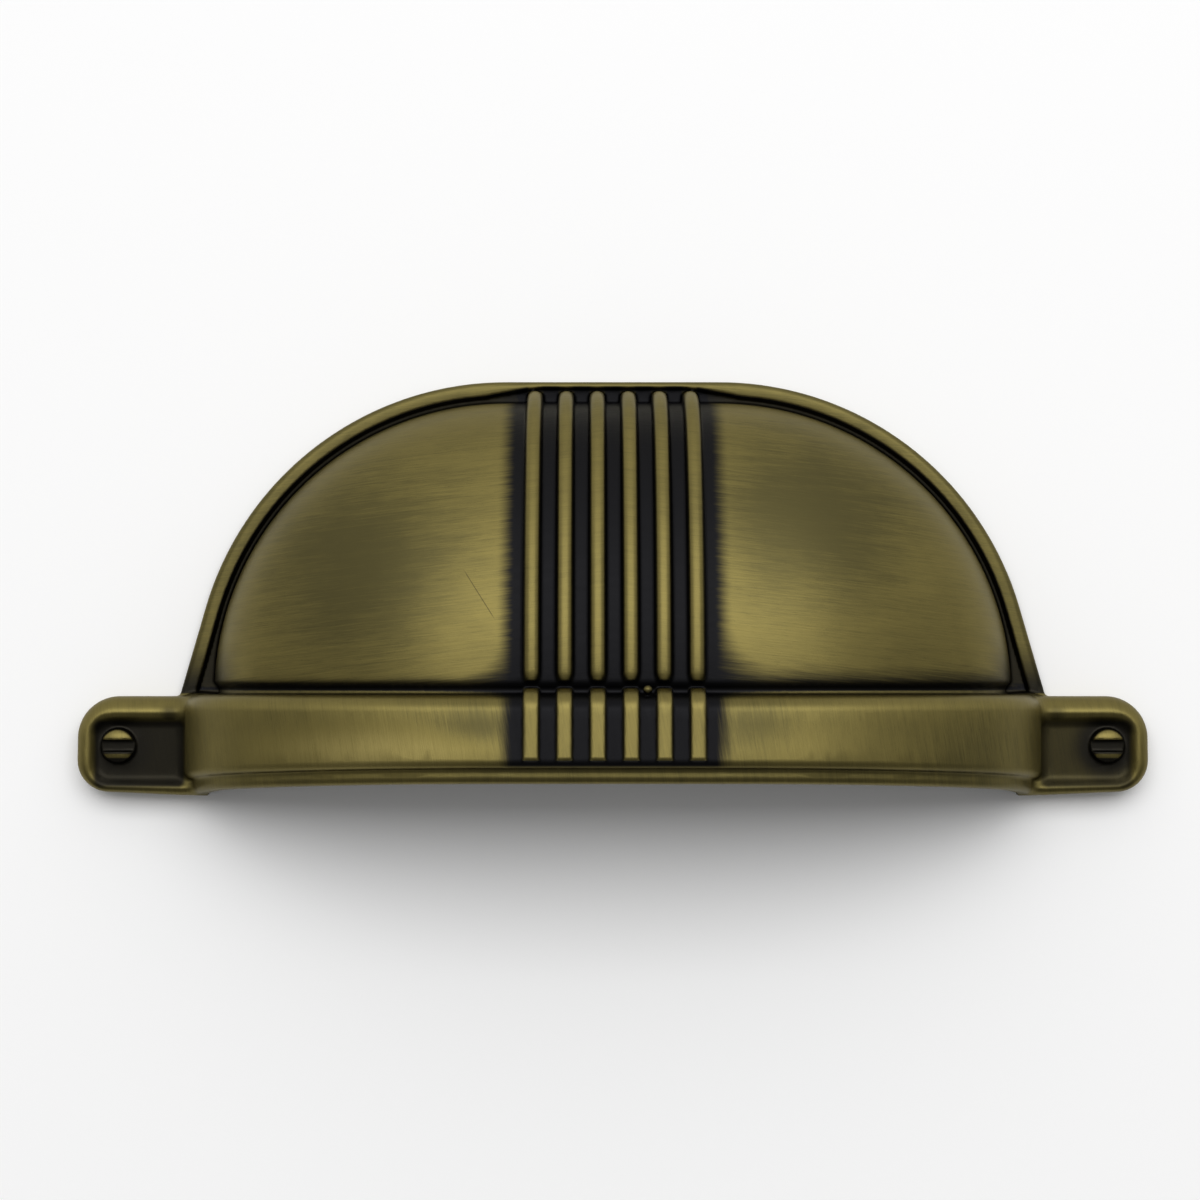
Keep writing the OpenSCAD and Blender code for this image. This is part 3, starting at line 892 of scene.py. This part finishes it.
def lip_shade(places, scene):
    """The crease above the lip, and how far a point lies on the lip."""
    graph, strap = places.graph, scene.pull_strap
    lean_cos, lean_sin = math.cos(strap.lip_lean), math.sin(strap.lip_lean)
    along = graph.total((places.y, lean_cos), (places.z, -lean_sin), strap.lip_drop / MM * lean_cos)
    middle = strap.lip_width / MM / 2
    crease = graph.within(along, middle - 0.25, middle + 0.3, 0.25)
    fade = graph.ease(places.aside, 41, 36)
    on_lip = graph.ease(along, middle + 0.3, middle - 0.1)
    return graph.math("MULTIPLY", crease, fade), graph.math("MULTIPLY", on_lip, fade)


def hidden_shade(places, scene):
    """1 on the inside of the cup and of the strap, which nobody has rubbed."""
    graph, cup = places.graph, scene.pull_cup
    ahead = graph.math("MAXIMUM", graph.math("SUBTRACT", places.aside, cup.half_straight / MM), 0)
    up = graph.math("MAXIMUM", places.y, 0)
    wide, high = cup.radius / MM, cup.height / MM
    share_out = graph.total((graph.total((ahead, ahead), (up, up)), 1 / wide ** 2),
                            (graph.math("MULTIPLY", places.z, places.z), 1 / high ** 2))
    limit = graph.ease(places.y, -0.6, -1.4, 0.92, 1.12)
    return graph.ease(graph.math("SUBTRACT", share_out, limit), 0.02, -0.02)


def scratch(places, start, end, width):
    """1 along a straight scratch seen from the front, between two places in millimetres."""
    graph = places.graph
    run = (end[0] - start[0], end[1] - start[1])
    size = math.hypot(*run)
    right, rise = graph.math("SUBTRACT", places.x, start[0]), graph.math("SUBTRACT", places.y, start[1])
    along = graph.total((right, run[0] / size), (rise, run[1] / size))
    off = graph.math("ABSOLUTE", graph.total((right, -run[1] / size), (rise, run[0] / size)))
    faded = graph.within(along, 0.5, size - 0.5, 0.5)
    return graph.math("MULTIPLY", faded, graph.ease(off, width, width / 3))


def sheen_and_dull_patches(places):
    """How much brighter or darker soft patches of the dome and of the strap are: painted shade on the cup,
    painted highlights low on the strap, and duller places elsewhere on the strap.
    """
    graph = places.graph
    change = 0.0
    for x, y, wide, high, more in SHEEN_AND_DULL_PATCHES:
        right = graph.math("DIVIDE", graph.math("SUBTRACT", places.x, x), wide)
        rise = graph.math("DIVIDE", graph.math("SUBTRACT", places.y, y), high)
        off = graph.total(graph.hypot(right, rise), (places.brush, 0.25), (places.fine, 0.2))
        patch = graph.ease(off, 1, 0)
        on_side = graph.rest(places.on_strap) if y > 0 else places.on_strap
        change = graph.math("ADD", change, graph.product(patch, on_side, more))
    return change


def antique_brass(scene):
    """Brushed brass on the high places and a dark finish left in the recesses, with painted highlights and
    painted shade in places.
    """
    finish = scene.pull_finish
    material = bpy.data.materials.new("antique brass")
    material.use_nodes = True
    graph = Graph(material.node_tree)
    shader = graph.tree.nodes["Principled BSDF"]
    places = Places(graph)
    mottle = graph.noise(*(graph.math("MULTIPLY", axis, 0.2) for axis in (places.x, places.y, places.z)))

    shade = graph.node("ShaderNodeAmbientOcclusion", only_local=True, samples=12)
    shade.inputs["Distance"].default_value = 2.5 * MM
    recess = graph.total(graph.rest(shade.outputs["AO"]), (places.brush, 0.2), (mottle, 0.1))
    crease, on_lip = lip_shade(places, scene)
    hidden = hidden_shade(places, scene)
    groove, on_band = groove_shade(places, scene)
    reeded, on_reed = reed_shade(places, scene)
    by_lip = graph.ease(graph.math("MAXIMUM", crease, on_lip), 0, 1, 1, 0.15)
    kept = graph.math("MULTIPLY", by_lip, graph.ease(groove, 0, 1, 1, 0.7))
    by_reeds = graph.ease(places.aside, 9, 12, 0.97, 0.92)
    patina = graph.most(graph.math("MULTIPLY", graph.ease(recess, 0.24, 0.5), kept),
                        graph.product(reeded, graph.rest(on_lip), graph.rest(on_band), graph.rest(hidden)),
                        graph.product(groove, graph.rest(on_reed), by_reeds),
                        ear_shade(places, scene), graph.math("MULTIPLY", crease, 0.2))
    line = scratch(places, SCRATCH_START, SCRATCH_END, SCRATCH_WIDTH)
    patina = graph.math("MAXIMUM", patina, graph.math("MULTIPLY", line, 0.5))

    # Painted shade: the lower edges of the ears and of the lip, which face away from the light, are made
    # duller
    shaded_lower_edges = graph.ease(places.y, -7.8, -9.0)
    # How rubbed the brass is, from the brushing, the mottle, the lip, the band and the inside, together with
    # painted highlights and painted shade from the patches and the lower edges
    rubbed_and_lit = graph.total(0.8, (places.brush, 0.5), (places.fine, 0.7), (places.lines, -0.3), (mottle, 0.5),
                         (on_lip, -0.25), (on_band, -0.3), (hidden, -0.6), (shaded_lower_edges, -0.3),
                         sheen_and_dull_patches(places))
    brass = graph.mix(graph.ease(rubbed_and_lit, 0.0, 1.2), (*finish.dull_and_shaded_brass, 1), (*finish.brass, 1))
    brass = graph.mix(graph.ease(rubbed_and_lit, 1.0, 2.0), brass, (*finish.worn_and_lit_brass, 1))
    graph.put(shader.inputs["Base Color"], graph.mix(patina, brass, (*finish.patina, 1)))
    rough = graph.total(graph.choose(patina, 0.44, 0.5), (places.brush, 0.12), (hidden, 0.15))
    graph.put(shader.inputs["Roughness"], rough)
    across = graph.node("ShaderNodeCombineXYZ")
    graph.put(across.inputs["X"], places.on_strap)
    graph.put(across.inputs["Y"], graph.rest(places.on_strap))
    graph.put(shader.inputs["Tangent"], across.outputs["Vector"])
    shader.inputs["Anisotropic"].default_value = 0.4
    shader.inputs["Specular Tint"].default_value = (0.85, 0.83, 0.76, 1)
    shader.inputs["Metallic"].default_value = 1
    bump = graph.node("ShaderNodeBump")
    bump.inputs["Distance"].default_value = 0.02 * MM
    bump.inputs["Strength"].default_value = 0.5
    graph.put(bump.inputs["Height"], graph.math("ADD", places.fine, places.brush))
    graph.put(shader.inputs["Normal"], bump.outputs["Normal"])
    return material


class PULL_OT_stage(bpy.types.Operator):
    """Make the floor, the light and the camera"""
    bl_idname = "pull.stage"
    bl_label = "Stage"

    def execute(self, context):
        scene = context.scene
        stage = scene.pull_stage
        mesh = bpy.data.meshes.new("floor")
        corners = [(FLOOR_REACH * x, FLOOR_REACH * y, 0) for x, y in ((-1, -1), (1, -1), (1, 1), (-1, 1))]
        mesh.from_pydata(corners, [], [(0, 1, 2, 3)])
        floor = bpy.data.objects.new("floor", mesh)
        scene.collection.objects.link(floor)
        paper = bpy.data.materials.new("pale floor")
        paper.use_nodes = True
        sockets = paper.node_tree.nodes["Principled BSDF"].inputs
        sockets["Base Color"].default_value = (*stage.floor, 1)
        sockets["Roughness"].default_value = 0.9
        sockets["Specular IOR Level"].default_value = 0
        mesh.materials.append(paper)

        world = bpy.data.worlds.new("studio")
        scene.world = world
        world.use_nodes = True
        graph = Graph(world.node_tree)
        apart = graph.node("ShaderNodeSeparateXYZ")
        graph.put(apart.inputs["Vector"], graph.node("ShaderNodeTexCoord").outputs["Generated"])
        background = world.node_tree.nodes["Background"]
        background.inputs["Color"].default_value = (1, 1, 1, 1)
        graph.put(background.inputs["Strength"], graph.ease(apart.outputs["Y"], -0.2, 0.5, 0.25, 1.02))
        self.softbox(scene, "softbox", height=65, distance=0.7, size=(0.75, 0.45), energy=2.8)

        camera = bpy.data.cameras.new("camera")
        camera.sensor_width = SENSOR_WIDTH
        camera.lens = SENSOR_WIDTH * stage.camera_height / stage.view_width
        camera.shift_x = (stage.view_x - stage.camera_x) / stage.view_width
        camera.shift_y = (stage.view_y - stage.camera_y) / stage.view_width
        camera.clip_start = 0.01
        seen = bpy.data.objects.new("camera", camera)
        seen.location = (stage.camera_x, stage.camera_y, stage.camera_height)
        scene.collection.objects.link(seen)
        scene.camera = seen
        scene.view_settings.view_transform = "Standard"
        return {"FINISHED"}

    def softbox(self, scene, name, height, distance, size, energy):
        """A large soft light behind the pull, at that height in degrees over the floor, aimed at the pull."""
        lamp = bpy.data.lights.new(name, "AREA")
        lamp.shape = "RECTANGLE"
        lamp.size, lamp.size_y = size
        lamp.energy = energy
        lit = bpy.data.objects.new(name, lamp)
        scene.collection.objects.link(lit)
        turn = math.radians(height)
        lit.location = (LIGHT_ASIDE, distance * math.cos(turn), distance * math.sin(turn))
        lit.rotation_euler = (turn - math.pi / 2, 0, 0)


class PULL_PT_panel(bpy.types.Panel):
    """Lists the pieces of the cup pull"""
    bl_label = "Cup Pull"
    bl_idname = "PULL_PT_panel"
    bl_space_type = "VIEW_3D"
    bl_region_type = "UI"
    bl_category = "Cup Pull"

    def draw(self, context):
        for operator in (PULL_OT_casting, PULL_OT_stage):
            self.layout.operator(operator.bl_idname)
        for name, group in GROUPS.items():
            box = self.layout.box()
            box.label(text=group.__doc__)
            for key in group.__annotations__:
                box.prop(getattr(context.scene, name), key)


CLASSES = (*GROUPS.values(), PULL_OT_casting, PULL_OT_stage, PULL_PT_panel)


def register():
    for cls in CLASSES:
        bpy.utils.register_class(cls)
    for name, group in GROUPS.items():
        setattr(bpy.types.Scene, name, PointerProperty(type=group))


def unregister():
    for name in GROUPS:
        delattr(bpy.types.Scene, name)
    for cls in reversed(CLASSES):
        bpy.utils.unregister_class(cls)


def main():
    register()
    bpy.ops.pull.stage()
    bpy.ops.pull.casting()


if __name__ == "__main__":
    main()
